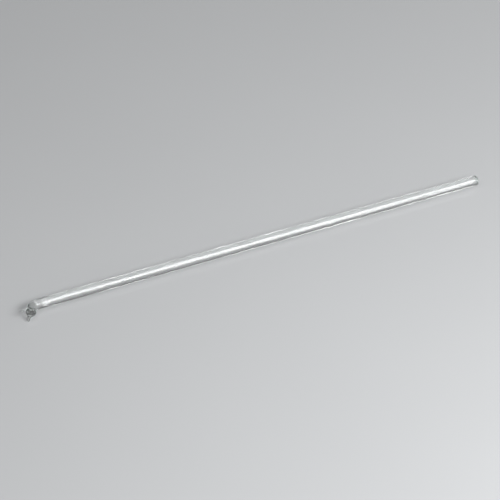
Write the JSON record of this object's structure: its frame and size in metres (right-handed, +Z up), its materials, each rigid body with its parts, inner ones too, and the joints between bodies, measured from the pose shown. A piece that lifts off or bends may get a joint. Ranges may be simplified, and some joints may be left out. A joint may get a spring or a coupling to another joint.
{
  "type": "glass stirring rod",
  "caption": "Clear glass stirring rod: a long straight shaft with a plain end to grip, bent at the other end into a short neck with a round button and small fused lugs.",
  "frame": {"origin": "on the bench that the rod lies on, at the middle of its footprint", "axes": "+X along the shaft towards its plain drive end, +Z up from the bench, and the head is bent aside towards -Y"},
  "size_m": [0.4, 0.0172, 0.0088],
  "materials": {
    "glass": "clear, fire polished"
  },
  "bodies": {
    "root": {"stirring_rod": "glass"}
  },
  "joints": []
}
